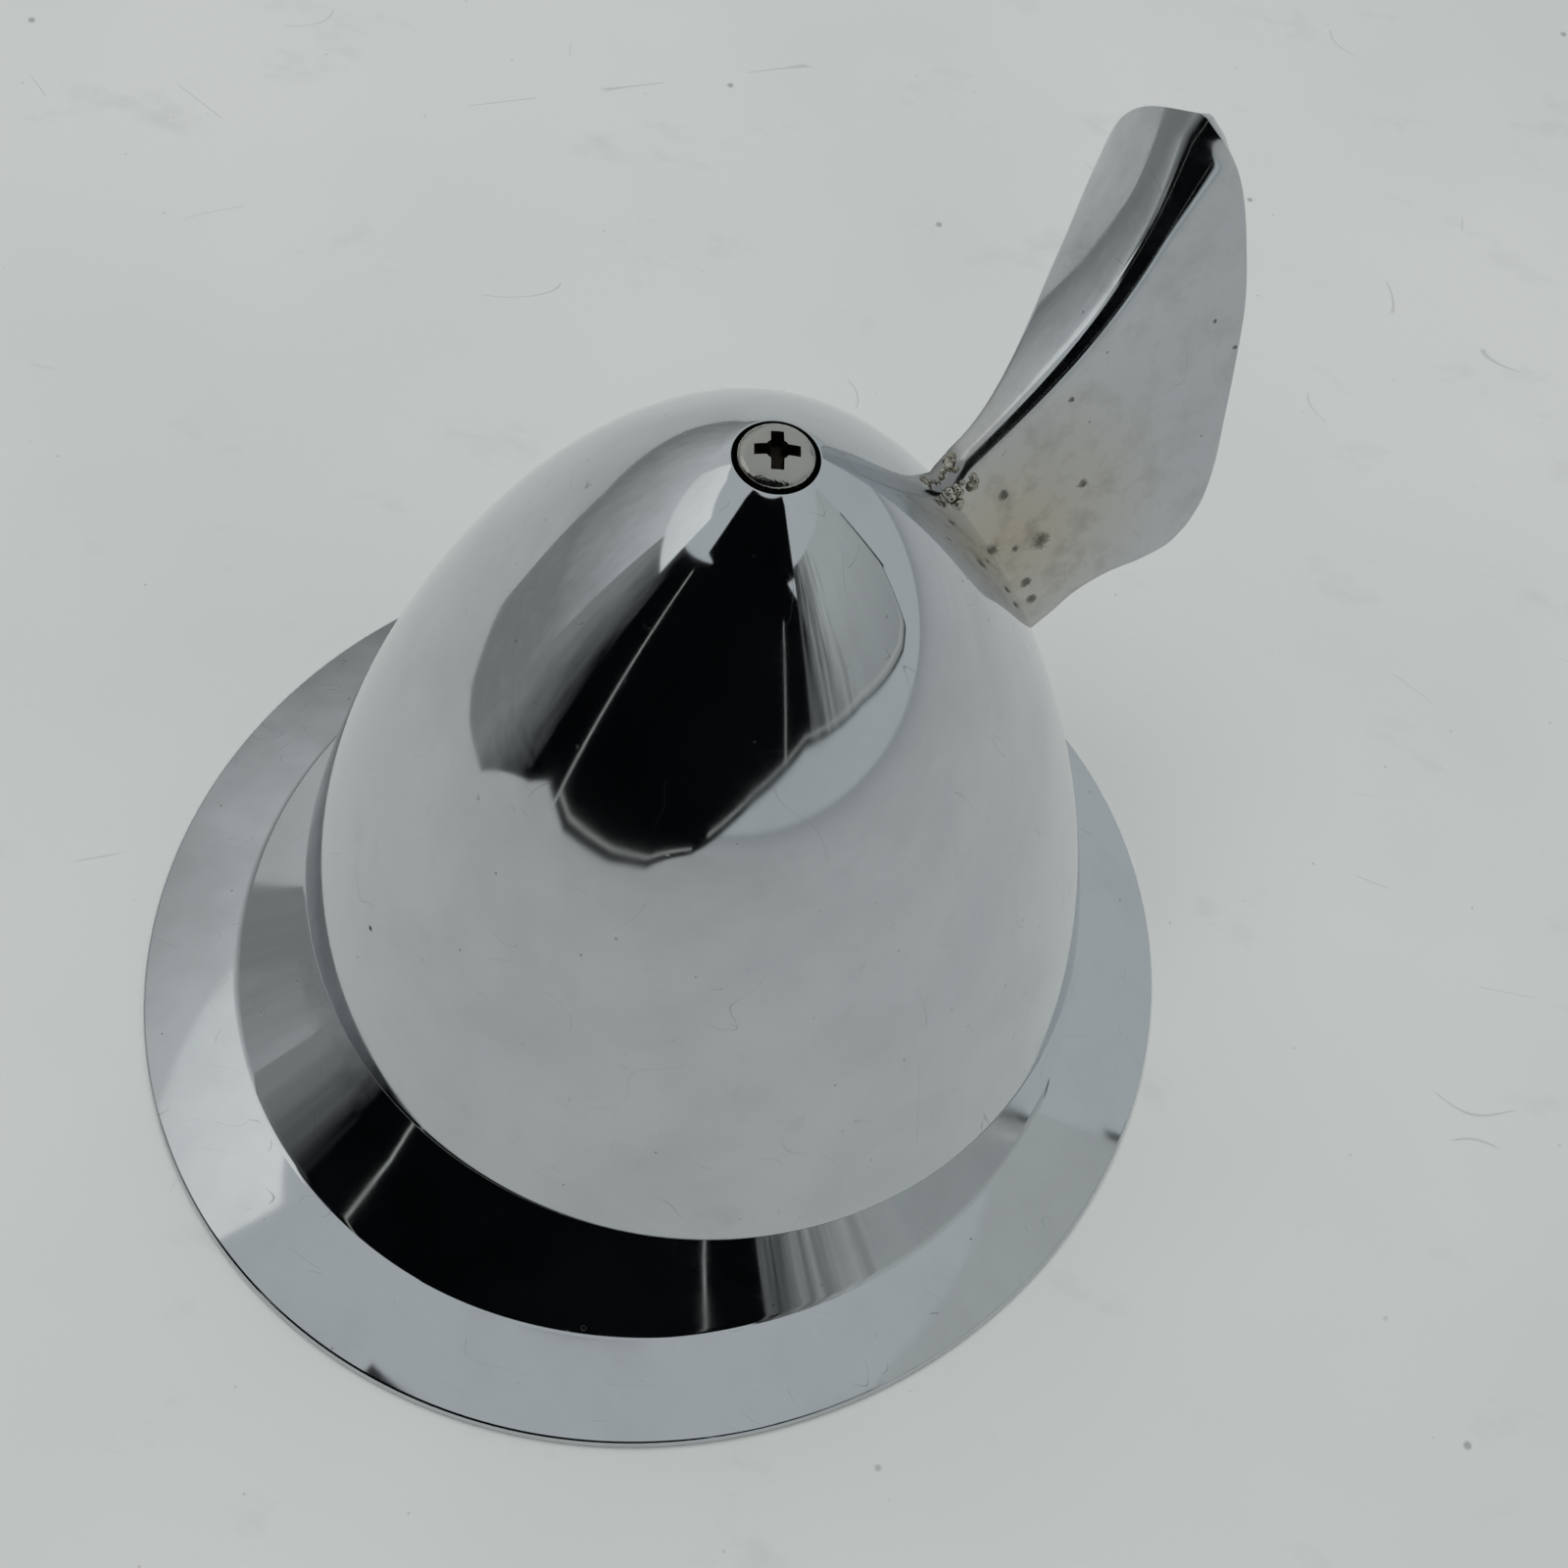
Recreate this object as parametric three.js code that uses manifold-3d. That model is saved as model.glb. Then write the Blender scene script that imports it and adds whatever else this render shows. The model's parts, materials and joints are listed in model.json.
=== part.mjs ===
// Turn-top bicycle bell: a bullet-shaped sheet-metal gong turns on a spindle by its thumb lever and, through
// a two-stage gear train, spins a rotor whose loose striker washers fly out against the gong's wall.
// Millimetres, +Z up. The origin is the centre of the base dish's foot, on the surface it stands on.
import * as THREE from "three";
import { ParametricGeometry } from "three/addons/geometries/ParametricGeometry.js";
import { mergeVertices } from "three/addons/utils/BufferGeometryUtils.js";
import Module from "manifold-3d";

const wasm = await Module();
wasm.setup();

// ---- driving sizes -----------------------------------------------------------------------------------
const gap = 0.3;                    // clearance between neighbouring pieces

const footRadius = 42;              // base dish, outer edge of the flange
const footFlat = 1.1;               // width of the flat edge that the dish stands on
const flangeEdge = 1.0;             // height of the flange's outer edge
const creaseRadius = 34.4;          // where the flange turns up into the neck
const creaseHeight = 4.3;
const platformRadius = 22.9;        // where the neck turns into the flat top of the dish
const platformCorner = 0.5;
const platformTop = 17.4;
const dishWall = 0.8;
const dishOvality = 0.033;          // the pressed dish is this share out of round, on its diagonal

const spindleOffset = 1.7;          // the gong's axis stands this far off the dish's centre, along +X

const gongRimRadius = 30.6;
const gongHeight = 54.4;
const gongLift = 0.9;               // rim over the dish's flat top
const gongWall = 1.0;
const gongRimLean = 10.4;           // degrees from vertical at the rim
const gongApexSlope = 33.6;         // degrees from level at the screw recess
const gongRimPull = 18.3;           // how far the profile keeps to each end's direction
const gongApexPull = 18.8;

const screwRadius = 1.5;
const screwHeadRadius = 2.42;
const screwHeadRise = 0.85;
const screwHeadSide = 0.35;         // straight part of the head, below the apex
const screwRecess = 0.45;           // straight part of the recess that the head sits in
const screwReach = 9;               // shank length inside the spindle
const screwSpare = 1;               // drilled deeper than the shank by this
const crossReach = 1.5;
const crossWidth = 0.82;
const crossDepth = 0.95;
const crossAngle = 12;              // degrees

const journalRadius = 2.0;          // spindle, where it turns in the bush
const spindleRadius = 3.0;
const spindleClipRadius = 3.4;
const spindleGroove = 0.5;          // depth of the groove that the clip sits in
const washerThickness = 0.6;
const washerLip = 0.6;              // a washer is wider than what bears on it by this

const plateRadius = 20.8;
const plateThickness = 1.2;

const bushRadius = 3.6;
const bushFlangeWidth = 1.8;
const bushFlangeThickness = 1.0;
const bushNutWall = 0.85;           // nut wall at the middle of a flat
const bushNutThickness = 2.0;

const gearModule = 0.8;
const gearAddendum = 0.9;           // tooth above and below the pitch circle, in modules
const gearDedendum = 1.2;
const pressureAngle = 20;           // degrees
const gearBacklash = 0.2;
const driveTeeth = 28;
const wheelTeeth = 24;
const pinionTeeth = 10;
const driveThickness = 2.0;
const wheelThickness = 1.6;
const pinionOverlap = 0.2;          // a pinion stands proud of its wheel by this on each side
const rotorAzimuth = -60;           // degrees

const armThickness = 1.0;
const armBossRadius = 3.4;
const armEndRadius = 2.2;
const strikerPinReach = 6.6;        // striker pin from the rotor's axis
const strikerPinRadius = 0.8;
const strikerPinHead = 0.6;
const strikerRadius = 3.0;
const strikerThickness = 2.0;
const strikerThrow = 0.6;
const strikerStandoff = 0.48;       // from the gong's wall to a striker thrown out

const arborRadius = 1.2;
const shoulderRadius = 2.2;
const clipThickness = 0.8;

const turnAngle = 60;               // degrees of lever travel
const stopPinReach = 9;             // stop pin from the gong's axis
const stopPinAzimuth = 60;          // degrees, at rest
const stopPinRadius = 0.9;
const stopPinShank = 0.6;
const stopPinDrop = 3.2;            // how far the pin hangs below the drive gear
const stopPostRadius = 1.3;

const springPlay = 1.25;            // between the bush and the coil's inside
const springWire = 0.45;            // wire radius
const springTurns = 3;
const springPostRadius = 1.0;
const springPostReach = 11.5;
const springPostAzimuth = 165;      // degrees

const nutSpacing = 26;              // clinch nuts for the handlebar bracket
const nutRadius = 3.2;
const nutSpigotRadius = 2.5;
const nutBore = 1.65;
const nutDepth = 2.7;

const rivetReach = 18;
const rivetAzimuths = [30, 150, 270];
const rivetRadius = 0.9;
const rivetHeadRadius = 1.8;
const rivetHeadHeight = 0.8;

const leverThickness = 1.3;
const leverFoldRadius = 2.3;        // outside radius of the rib that runs up the lever
const leverLength = 26.6;           // along the rib, from where it leaves the gong
const leverRoot = 13;               // how far the wings run back down the gong's shoulder
const leverHeading = 59.8;          // degrees, the way the rib points over the gong's shoulder
const leverRise = 51.1;             // degrees above level
const leverLean = 18;               // degrees that the broad wing's face looks up
const leverBow = 1.4;               // how far the rib bows towards the broad wing
const leverDrop = 10.8;             // from the gong's apex down to where the rib leaves it
const leverAzimuth = 44;            // degrees, where the rib leaves the gong
const leverStandoff = 2.6;          // the rib's corner from the gong's face
const brazeSpread = 1.5;

// ---- heights and places that follow ------------------------------------------------------------------
const degrees = Math.PI / 180;
const polar = (reach, azimuth) =>
  new THREE.Vector2(reach * Math.cos(azimuth * degrees), reach * Math.sin(azimuth * degrees));
const azimuthOf = (vector) => Math.atan2(vector.y, vector.x) / degrees;
const pitchRadius = (teeth) => (gearModule * teeth) / 2;
const centre = new THREE.Vector2(0, 0);

const platformBottom = platformTop - dishWall;
const gongRimHeight = platformTop + gongLift;
const gongApexHeight = gongRimHeight + gongHeight;
const plateBottom = platformTop + gap;
const plateTop = plateBottom + plateThickness;
const postFoot = plateTop + gap;
const bushFlangeTop = postFoot + bushFlangeThickness;
const armBottom = bushFlangeTop + gap;
const armTop = armBottom + armThickness;
const strikerBottom = armTop + gap;
const strikerTop = strikerBottom + strikerThickness;
const strikerHeadTop = strikerTop + gap + strikerPinHead;
const wheelBottom = strikerHeadTop + gap + pinionOverlap;
const wheelTop = wheelBottom + wheelThickness;
const bushTop = wheelTop + gap;
const driveBottom = bushTop + 2 * gap;
const driveTop = driveBottom + driveThickness;
const rotorStackTop = wheelTop + pinionOverlap;
const idlerStackTop = driveTop + pinionOverlap;

const nutTop = platformBottom - gap;
const bushNutBottom = nutTop - bushNutThickness;
const bushBottom = bushNutBottom - gap;
const thrustWasherTop = bushBottom - gap;
const spindleClipTop = thrustWasherTop - washerThickness - gap;
const spindleBottom = spindleClipTop - clipThickness - 2 * gap;

const screwSeatRadius = screwHeadRadius + gap;
const screwHoleRadius = screwRadius + gap;
const screwSeatTop = gongApexHeight - screwRecess;
const screwSeatBottom = screwSeatTop - (screwSeatRadius - screwHoleRadius);
const gongSeatBottom = screwSeatBottom - gongWall;
const seatWasherTop = gongSeatBottom - gap;
const spindleTop = seatWasherTop - washerThickness - gap;

const gongRim = new THREE.Vector2(gongRimRadius, gongRimHeight);
const gongApex = new THREE.Vector2(screwSeatRadius, gongApexHeight);
const gongFace = new THREE.CubicBezierCurve(
  gongRim,
  polar(gongRimPull, 90 + gongRimLean).add(gongRim),
  polar(gongApexPull, -gongApexSlope).add(gongApex),
  gongApex,
).getPoints(11);

function radiusAt(profile, height) {
  const next = profile.findIndex((point) => point.y >= height);
  const [below, above] = [profile[next - 1], profile[next]];
  return THREE.MathUtils.mapLinear(height, below.y, above.y, below.x, above.x);
}

// the rotor stands where its strikers, thrown out, reach the gong's wall
const strikerSweep = strikerPinReach + strikerRadius + strikerThrow;
const rotorDistance = radiusAt(gongFace, strikerTop) - gongWall - strikerStandoff - strikerSweep;
const idlerDistance = pitchRadius(driveTeeth) + pitchRadius(pinionTeeth);
const trainDistance = pitchRadius(wheelTeeth) + pitchRadius(pinionTeeth);
const trainCosine =
  (idlerDistance ** 2 + rotorDistance ** 2 - trainDistance ** 2) / (2 * idlerDistance * rotorDistance);
const idlerAzimuth = rotorAzimuth - Math.acos(trainCosine) / degrees;
const idlerPlace = polar(idlerDistance, idlerAzimuth);
const rotorPlace = polar(rotorDistance, rotorAzimuth);
const trainAzimuth = azimuthOf(rotorPlace.clone().sub(idlerPlace));
const armAzimuth = rotorAzimuth + 90;
const strikerPlaces = [armAzimuth, armAzimuth + 180]
  .map((azimuth) => polar(strikerPinReach, azimuth).add(rotorPlace));

const stopMargin = (stopPinRadius + stopPostRadius + gap) / stopPinReach / degrees;
const stopPinPlace = polar(stopPinReach, stopPinAzimuth);
const stopPlaces = [stopPinAzimuth - stopMargin, stopPinAzimuth + turnAngle + stopMargin]
  .map((azimuth) => polar(stopPinReach, azimuth));
const springRadius = bushRadius + springPlay + springWire;
const springPostPlace = polar(springPostReach, springPostAzimuth);
const springPostTop = bushFlangeTop + 3 * springWire + 2 * gap;
const rivetPlaces = rivetAzimuths.map((azimuth) => polar(rivetReach, azimuth));

// ---- materials ---------------------------------------------------------------------------------------
const finish = (color, roughness) => new THREE.MeshStandardMaterial({ color, roughness, metalness: 1 });
const chrome = finish(0xc9cbcd, 0.08);
const zincSteel = finish(0xa9adb0, 0.35);
const plainSteel = finish(0x8d8f90, 0.4);
const springSteel = finish(0x6f7274, 0.35);
const brass = finish(0xb8924a, 0.3);
const brazeAlloy = finish(0x8a7c66, 0.45);

// ---- helpers -----------------------------------------------------------------------------------------
function solid(geometry) {
  const bare = geometry.clone();
  for (const name of Object.keys(bare.attributes)) {
    if (name !== "position") bare.deleteAttribute(name);
  }
  const merged = mergeVertices(bare, 1e-4);
  const corners = merged.index.array;
  const kept = [];
  for (let i = 0; i < corners.length; i += 3) {
    const [a, b, c] = corners.slice(i, i + 3);
    if (a !== b && b !== c && c !== a) kept.push(a, b, c);
  }
  return new wasm.Manifold(new wasm.Mesh({
    numProp: 3,
    vertProperties: new Float32Array(merged.attributes.position.array),
    triVerts: new Uint32Array(kept),
  }));
}

function geometryOf(body) {
  const cut = body.getMesh();
  const geometry = new THREE.BufferGeometry();
  geometry.setAttribute("position", new THREE.BufferAttribute(new Float32Array(cut.vertProperties), 3));
  geometry.setIndex(new THREE.BufferAttribute(new Uint32Array(cut.triVerts), 1));
  geometry.computeVertexNormals();
  return geometry;
}

// a turned piece from [radius, height] points, anticlockwise, closed on the axis or on themselves
function turned(points, segments = 20) {
  const profile = points.map(([radius, height]) => new THREE.Vector2(radius, height));
  return new THREE.LatheGeometry(profile, segments).rotateX(Math.PI / 2);
}

function ring(inner, outer, bottom, top, segments = 20) {
  return turned([[inner, bottom], [outer, bottom], [outer, top], [inner, top], [inner, bottom]], segments);
}

const washer = (bore, radius, top) => ring(bore, radius, top - washerThickness, top);

function flatPiece(shape, bottom, top, curveSegments = 6) {
  const settings = { depth: top - bottom, bevelEnabled: false, curveSegments };
  return new THREE.ExtrudeGeometry(shape, settings).translate(0, 0, bottom);
}

function circle(place, radius, sides) {
  return Array.from({ length: sides }, (_, side) => polar(radius, (360 * side) / sides).add(place));
}

function roundHole(shape, place, radius, sides = 12) {
  shape.holes.push(new THREE.Path(circle(place, radius, sides).reverse()));
}

// a profile moved sideways by one wall, its corners mitred
function offsetProfile(points, distance) {
  return points.map((point, i) => {
    const before = points[Math.max(i - 1, 0)];
    const after = points[Math.min(i + 1, points.length - 1)];
    const arrive = point === before ? after.clone().sub(point) : point.clone().sub(before);
    const leave = point === after ? arrive.clone() : after.clone().sub(point);
    const arriveSide = new THREE.Vector2(-arrive.y, arrive.x).normalize();
    const leaveSide = new THREE.Vector2(-leave.y, leave.x).normalize();
    const mitre = arriveSide.clone().add(leaveSide).normalize();
    return point.clone().addScaledVector(mitre, distance / mitre.dot(arriveSide));
  });
}

function piece(group, name, geometry, material, place = centre) {
  const mesh = new THREE.Mesh(geometry, material);
  mesh.name = name;
  mesh.position.set(place.x, place.y, 0);
  group.add(mesh);
}

// an involute gear's outline; a tooth's middle points along the azimuth
function gearShape(teeth, azimuth) {
  const pitch = pitchRadius(teeth);
  const base = pitch * Math.cos(pressureAngle * degrees);
  const root = pitch - gearDedendum * gearModule;
  const tip = pitch + gearAddendum * gearModule;
  const involute = (radius) => {
    const pressure = Math.acos(Math.min(base / radius, 1));
    return Math.tan(pressure) - pressure;
  };
  const halfTooth = ((Math.PI * gearModule) / 2 - gearBacklash / 2) / 2 / pitch;
  const halfAngle = (radius) => (halfTooth + involute(pitch) - involute(radius)) / degrees;
  const radii = [root, Math.max(base, root + 0.05), pitch, tip];
  const outline = [];
  for (let tooth = 0; tooth < teeth; tooth += 1) {
    const middle = azimuth + (360 * tooth) / teeth;
    outline.push(...radii.map((radius) => polar(radius, middle - halfAngle(radius))));
    outline.push(...radii.map((radius) => polar(radius, middle + halfAngle(radius))).reverse());
  }
  return new THREE.Shape(outline);
}

// ---- base: the dish, the works plate and what stands on it -------------------------------------------
function baseDish() {
  const topFace = [
    [0, platformTop],
    [platformRadius - platformCorner, platformTop],
    [platformRadius + platformCorner / 2, platformTop - platformCorner],
    [creaseRadius, creaseHeight],
    [footRadius, flangeEdge],
  ].map(([radius, height]) => new THREE.Vector2(radius, height));
  const underFace = offsetProfile(topFace, -dishWall).slice(0, -1);
  const outline = [
    ...underFace,
    new THREE.Vector2(footRadius - footFlat, 0),
    new THREE.Vector2(footRadius, 0),
    ...topFace.reverse(),
  ];
  const sheet = turned(outline.map((point) => [point.x, point.y]), 60);
  sheet.rotateZ(-Math.PI / 4).scale(1 + dishOvality, 1 - dishOvality, 1).rotateZ(Math.PI / 4);
  const holes = [
    [centre, bushRadius],
    [new THREE.Vector2(-nutSpacing / 2, 0), nutSpigotRadius],
    [new THREE.Vector2(nutSpacing / 2, 0), nutSpigotRadius],
    ...rivetPlaces.map((place) => [place, rivetRadius]),
  ];
  let body = solid(sheet);
  for (const [place, radius] of holes) {
    const hole = radius + gap;
    const drill = turned([[0, 0], [hole, 0], [hole, gongRimHeight], [0, gongRimHeight]], 24);
    body = body.subtract(solid(drill.translate(place.x + spindleOffset, place.y, 0)));
  }
  return geometryOf(body);
}

function worksPlate() {
  const shape = new THREE.Shape(circle(centre, plateRadius, 48));
  roundHole(shape, centre, bushRadius + gap, 20);
  for (const place of rivetPlaces) roundHole(shape, place, rivetRadius + gap);
  for (const place of [idlerPlace, rotorPlace, springPostPlace, ...stopPlaces]) {
    roundHole(shape, place, arborRadius + gap);
  }
  return flatPiece(shape, plateBottom, plateTop);
}

function plateRivet() {
  return turned([
    [0, nutTop - rivetHeadHeight],
    [rivetHeadRadius * 0.6, nutTop - rivetHeadHeight],
    [rivetHeadRadius, nutTop],
    [rivetRadius, nutTop],
    [rivetRadius, postFoot],
    [rivetHeadRadius, postFoot],
    [rivetHeadRadius * 0.85, postFoot + rivetHeadHeight * 0.6],
    [rivetHeadRadius * 0.4, postFoot + rivetHeadHeight],
    [0, postFoot + rivetHeadHeight],
  ], 16);
}

function spindleBush() {
  const bore = journalRadius + gap;
  const flange = bushRadius + bushFlangeWidth;
  return turned([
    [bore, bushBottom],
    [bushRadius, bushBottom],
    [bushRadius, postFoot],
    [flange, postFoot],
    [flange, bushFlangeTop],
    [bushRadius, bushFlangeTop],
    [bushRadius, bushTop],
    [bore, bushTop],
    [bore, bushBottom],
  ], 24);
}

function bushNut() {
  const corner = (bushRadius + gap + bushNutWall) / Math.cos(30 * degrees);
  const shape = new THREE.Shape(circle(centre, corner, 6));
  roundHole(shape, centre, bushRadius + gap, 20);
  return flatPiece(shape, bushNutBottom, nutTop);
}

function bracketNut() {
  return turned([
    [nutBore, nutTop - nutDepth],
    [nutRadius, nutTop - nutDepth],
    [nutRadius, nutTop],
    [nutSpigotRadius, nutTop],
    [nutSpigotRadius, platformTop],
    [nutBore, platformTop],
    [nutBore, nutTop - nutDepth],
  ], 24);
}

// a post stands on the plate on its shoulder, its shank riveted into the plate's hole
function post(radius, top) {
  return turned([
    [0, plateBottom + gap],
    [arborRadius, plateBottom + gap],
    [arborRadius, postFoot],
    [radius, postFoot],
    [radius, top],
    [0, top],
  ], 16);
}

// an arbor is a post whose thin upper part carries a gear stack and a retaining clip
function arbor(shoulderTop, stackTop) {
  const top = stackTop + clipThickness + 3 * gap;
  return turned([
    [0, plateBottom + gap],
    [arborRadius, plateBottom + gap],
    [arborRadius, postFoot],
    [shoulderRadius, postFoot],
    [shoulderRadius, shoulderTop],
    [arborRadius, shoulderTop],
    [arborRadius, top],
    [0, top],
  ], 16);
}

const arborClip = (stackTop) =>
  ring(arborRadius + gap, shoulderRadius + gap, stackTop + gap, stackTop + gap + clipThickness, 16);

// return spring: its lower leg bears on the spring post, then it coils up round the bush
class SpringLine extends THREE.Curve {
  constructor() {
    super();
    const offset = springRadius + springWire + gap + springPostRadius;
    this.begin = springPostAzimuth * degrees + Math.acos(offset / springPostReach);
    this.leg = Math.sqrt(springPostReach ** 2 - offset ** 2) + 2 * springPostRadius;
    this.coil = springTurns * 2 * Math.PI * springRadius;
    this.bottom = bushFlangeTop + gap + springWire;
    this.rise = wheelBottom - gap - springWire - this.bottom;
  }

  getPoint(t, target = new THREE.Vector3()) {
    const along = t * (this.leg + this.coil) - this.leg;
    const turn = this.begin + Math.max(along, 0) / springRadius;
    const straight = Math.max(-along, 0);
    return target.set(
      springRadius * Math.cos(turn) + straight * Math.sin(turn),
      springRadius * Math.sin(turn) - straight * Math.cos(turn),
      this.bottom + (this.rise * Math.max(along, 0)) / this.coil,
    );
  }
}

function returnSpring() {
  const wire = new THREE.Shape(circle(centre, springWire, 6));
  return new THREE.ExtrudeGeometry(wire, { steps: 56, extrudePath: new SpringLine(), bevelEnabled: false });
}

// ---- gong: everything that turns with the lever ------------------------------------------------------
function gong() {
  const lining = offsetProfile(gongFace, gongWall);
  const inner = lining.filter((point) => point.y < gongSeatBottom - gap);
  inner.push(new THREE.Vector2(radiusAt(lining, gongSeatBottom), gongSeatBottom));
  const profile = [
    ...gongFace.map((point) => [point.x, point.y]),
    [screwSeatRadius, screwSeatTop],
    [screwHoleRadius, screwSeatBottom],
    [screwHoleRadius, gongSeatBottom],
    ...inner.reverse().map((point) => [point.x, point.y]),
  ];
  return turned([...profile, profile[0]], 48);
}

// the solid space out to a distance over the gong's face
function gongEnvelope(distance) {
  const face = offsetProfile(gongFace, -distance).map((point) => [point.x, point.y]);
  return solid(turned([[0, gongRimHeight], ...face, [0, gongApexHeight + distance]], 48));
}

const leverFoot = polar(radiusAt(gongFace, gongApexHeight - leverDrop) + leverStandoff, leverAzimuth);
const leverStart = new THREE.Vector3(leverFoot.x, leverFoot.y, gongApexHeight - leverDrop);

// lever axes: along the rib, down the broad wing, and out of the broad wing's face
const leverAlong = new THREE.Vector3(
  Math.cos(leverRise * degrees) * Math.cos(leverHeading * degrees),
  Math.cos(leverRise * degrees) * Math.sin(leverHeading * degrees),
  Math.sin(leverRise * degrees),
);
const faceHeading =
  leverHeading * degrees - Math.acos(-Math.tan(leverRise * degrees) * Math.tan(leverLean * degrees));
const leverFace = new THREE.Vector3(
  Math.cos(leverLean * degrees) * Math.cos(faceHeading),
  Math.cos(leverLean * degrees) * Math.sin(faceHeading),
  Math.sin(leverLean * degrees),
);
const leverDown = new THREE.Vector3().crossVectors(leverAlong, leverFace);

// edges of the flattened sheet: [distance along the rib, distance to the side]
const broadEdge = new THREE.SplineCurve([
  [-leverRoot, 12.6], [-4.8, 17], [-0.6, 20.6], [2.4, 21.2], [6.5, 19.2],
  [12.5, 15.6], [18.1, 12.1], [22.3, 8], [25.2, 4.2], [leverLength, 0.6],
].map(([along, side]) => new THREE.Vector2(along, side)));
const narrowEdge = new THREE.SplineCurve([
  [-leverRoot, -3], [-3, -2.2], [3, -1.8], [6.2, -2.7], [9, -4], [12.1, -5.4], [14.7, -6.3],
  [18.8, -7], [21.1, -6.8], [22.8, -6.1], [24.4, -4.8], [25.8, -2.6], [leverLength, -0.6],
].map(([along, side]) => new THREE.Vector2(along, side)));

function edgeAt(curve, along) {
  const points = curve.getPoints(80);
  const next = points.findIndex((point) => point.x >= along - 1e-6);
  if (next <= 0) return points[0].y;
  const [a, b] = [points[next - 1], points[next]];
  return a.y + ((b.y - a.y) * (along - a.x)) / (b.x - a.x);
}

// the bent sheet, swollen by a distance on every side; its section runs out over the outer face and back
function leverSheet(swell) {
  const halfFold = (leverFoldRadius * Math.PI) / 4;
  const steps = 13;
  const slices = 2 * steps + 2;
  const stacks = 15;
  const edges = new Map();
  return new ParametricGeometry((u, v, target) => {
    const slice = Math.round(u * slices) % slices;
    const stack = Math.round(v * stacks);
    const outside = slice <= steps;
    const share = outside ? slice / steps : (slices - 1 - slice) / steps;
    const row = THREE.MathUtils.clamp(stack - 1, 0, stacks - 2) / (stacks - 2);
    const along = -leverRoot + (leverRoot + leverLength) * Math.sin((row * Math.PI) / 2);
    if (!edges.has(along)) edges.set(along, [edgeAt(broadEdge, along), edgeAt(narrowEdge, along)]);
    const [broad, narrow] = edges.get(along);
    const side = narrow - swell + (broad - narrow + 2 * swell) * share;
    const closing = stack === 0 || stack === stacks;
    const half = closing ? 0 : leverThickness / 2 + swell;
    const radius = leverFoldRadius - leverThickness / 2 + (outside ? half : -half);
    const fold = THREE.MathUtils.clamp(side / halfFold, -1, 1) * 45 * degrees + 45 * degrees;
    const bow = leverBow * Math.sin((Math.PI * Math.max(along, 0)) / leverLength);
    const across = leverFoldRadius - radius * Math.cos(fold) + Math.max(side - halfFold, 0);
    const out = radius * Math.sin(fold) - leverFoldRadius - Math.max(-halfFold - side, 0);
    target.copy(leverStart)
      .addScaledVector(leverAlong, along + (stack > stacks / 2 ? swell : 0))
      .addScaledVector(leverDown, bow + across)
      .addScaledVector(leverFace, out);
  }, slices, stacks);
}

function thumbLever() {
  return geometryOf(solid(leverSheet(0)).subtract(gongEnvelope(gap)));
}

function leverBraze() {
  const bead = solid(leverSheet(brazeSpread)).intersect(gongEnvelope(gap + brazeSpread));
  return geometryOf(bead.subtract(gongEnvelope(gap)).subtract(solid(leverSheet(gap))));
}

function apexScrew() {
  const headEdge = gongApexHeight - screwHeadSide;
  const shankTop = headEdge - (screwHeadRadius - screwRadius);
  const rise = [0.3, 0.6, 0.85].map((share) => [
    screwHeadRadius * Math.cos((share * Math.PI) / 2),
    gongApexHeight + screwHeadRise * Math.sin((share * Math.PI) / 2),
  ]);
  const blank = turned([
    [0, spindleTop - screwReach],
    [screwRadius, spindleTop - screwReach],
    [screwRadius, shankTop],
    [screwHeadRadius, headEdge],
    [screwHeadRadius, gongApexHeight],
    ...rise,
    [0, gongApexHeight + screwHeadRise],
  ], 28);
  const headTop = gongApexHeight + screwHeadRise;
  const slot = (turn) => {
    const bar = new THREE.BoxGeometry(2 * crossReach, crossWidth, 2 * crossDepth);
    return solid(bar.rotateZ((crossAngle + turn) * degrees).translate(0, 0, headTop));
  };
  return geometryOf(solid(blank).subtract(slot(0)).subtract(slot(90)));
}

function spindle() {
  const clipGroove = journalRadius - spindleGroove;
  const shoulder = driveTop + gap;
  return turned([
    [0, spindleBottom],
    [journalRadius - gap, spindleBottom],
    [journalRadius, spindleBottom + gap],
    [journalRadius, spindleClipTop - clipThickness - gap / 2],
    [clipGroove, spindleClipTop - clipThickness - gap / 2],
    [clipGroove, spindleClipTop + gap / 2],
    [journalRadius, spindleClipTop + gap / 2],
    [journalRadius, shoulder],
    [spindleRadius, shoulder],
    [spindleRadius, spindleTop],
    [screwHoleRadius, spindleTop],
    [screwHoleRadius, spindleTop - screwReach - screwSpare],
    [0, spindleTop - screwReach - screwSpare - screwHoleRadius / 2],
  ]);
}

function spindleClip() {
  const bore = journalRadius - spindleGroove + gap;
  return ring(bore, spindleClipRadius, spindleClipTop - clipThickness, spindleClipTop);
}

function driveGear() {
  const shape = gearShape(driveTeeth, idlerAzimuth);
  roundHole(shape, centre, journalRadius + gap, 16);
  roundHole(shape, stopPinPlace, stopPinShank + gap);
  return flatPiece(shape, driveBottom, driveTop);
}

function stopPin() {
  return turned([
    [0, driveBottom - stopPinDrop],
    [stopPinRadius, driveBottom - stopPinDrop],
    [stopPinRadius, driveBottom - gap],
    [stopPinShank, driveBottom - gap],
    [stopPinShank, driveTop],
    [0, driveTop],
  ], 16);
}

// ---- gear train --------------------------------------------------------------------------------------
function arborGear(teeth, azimuth, bottom, top) {
  const shape = gearShape(teeth, azimuth);
  roundHole(shape, centre, arborRadius + gap);
  return flatPiece(shape, bottom, top);
}

// a pinion turned so that a space between its teeth faces the wheel at that azimuth
function pinion(wheelAzimuth, bottom, top) {
  return arborGear(pinionTeeth, wheelAzimuth + 180 / pinionTeeth, bottom, top);
}

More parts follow.
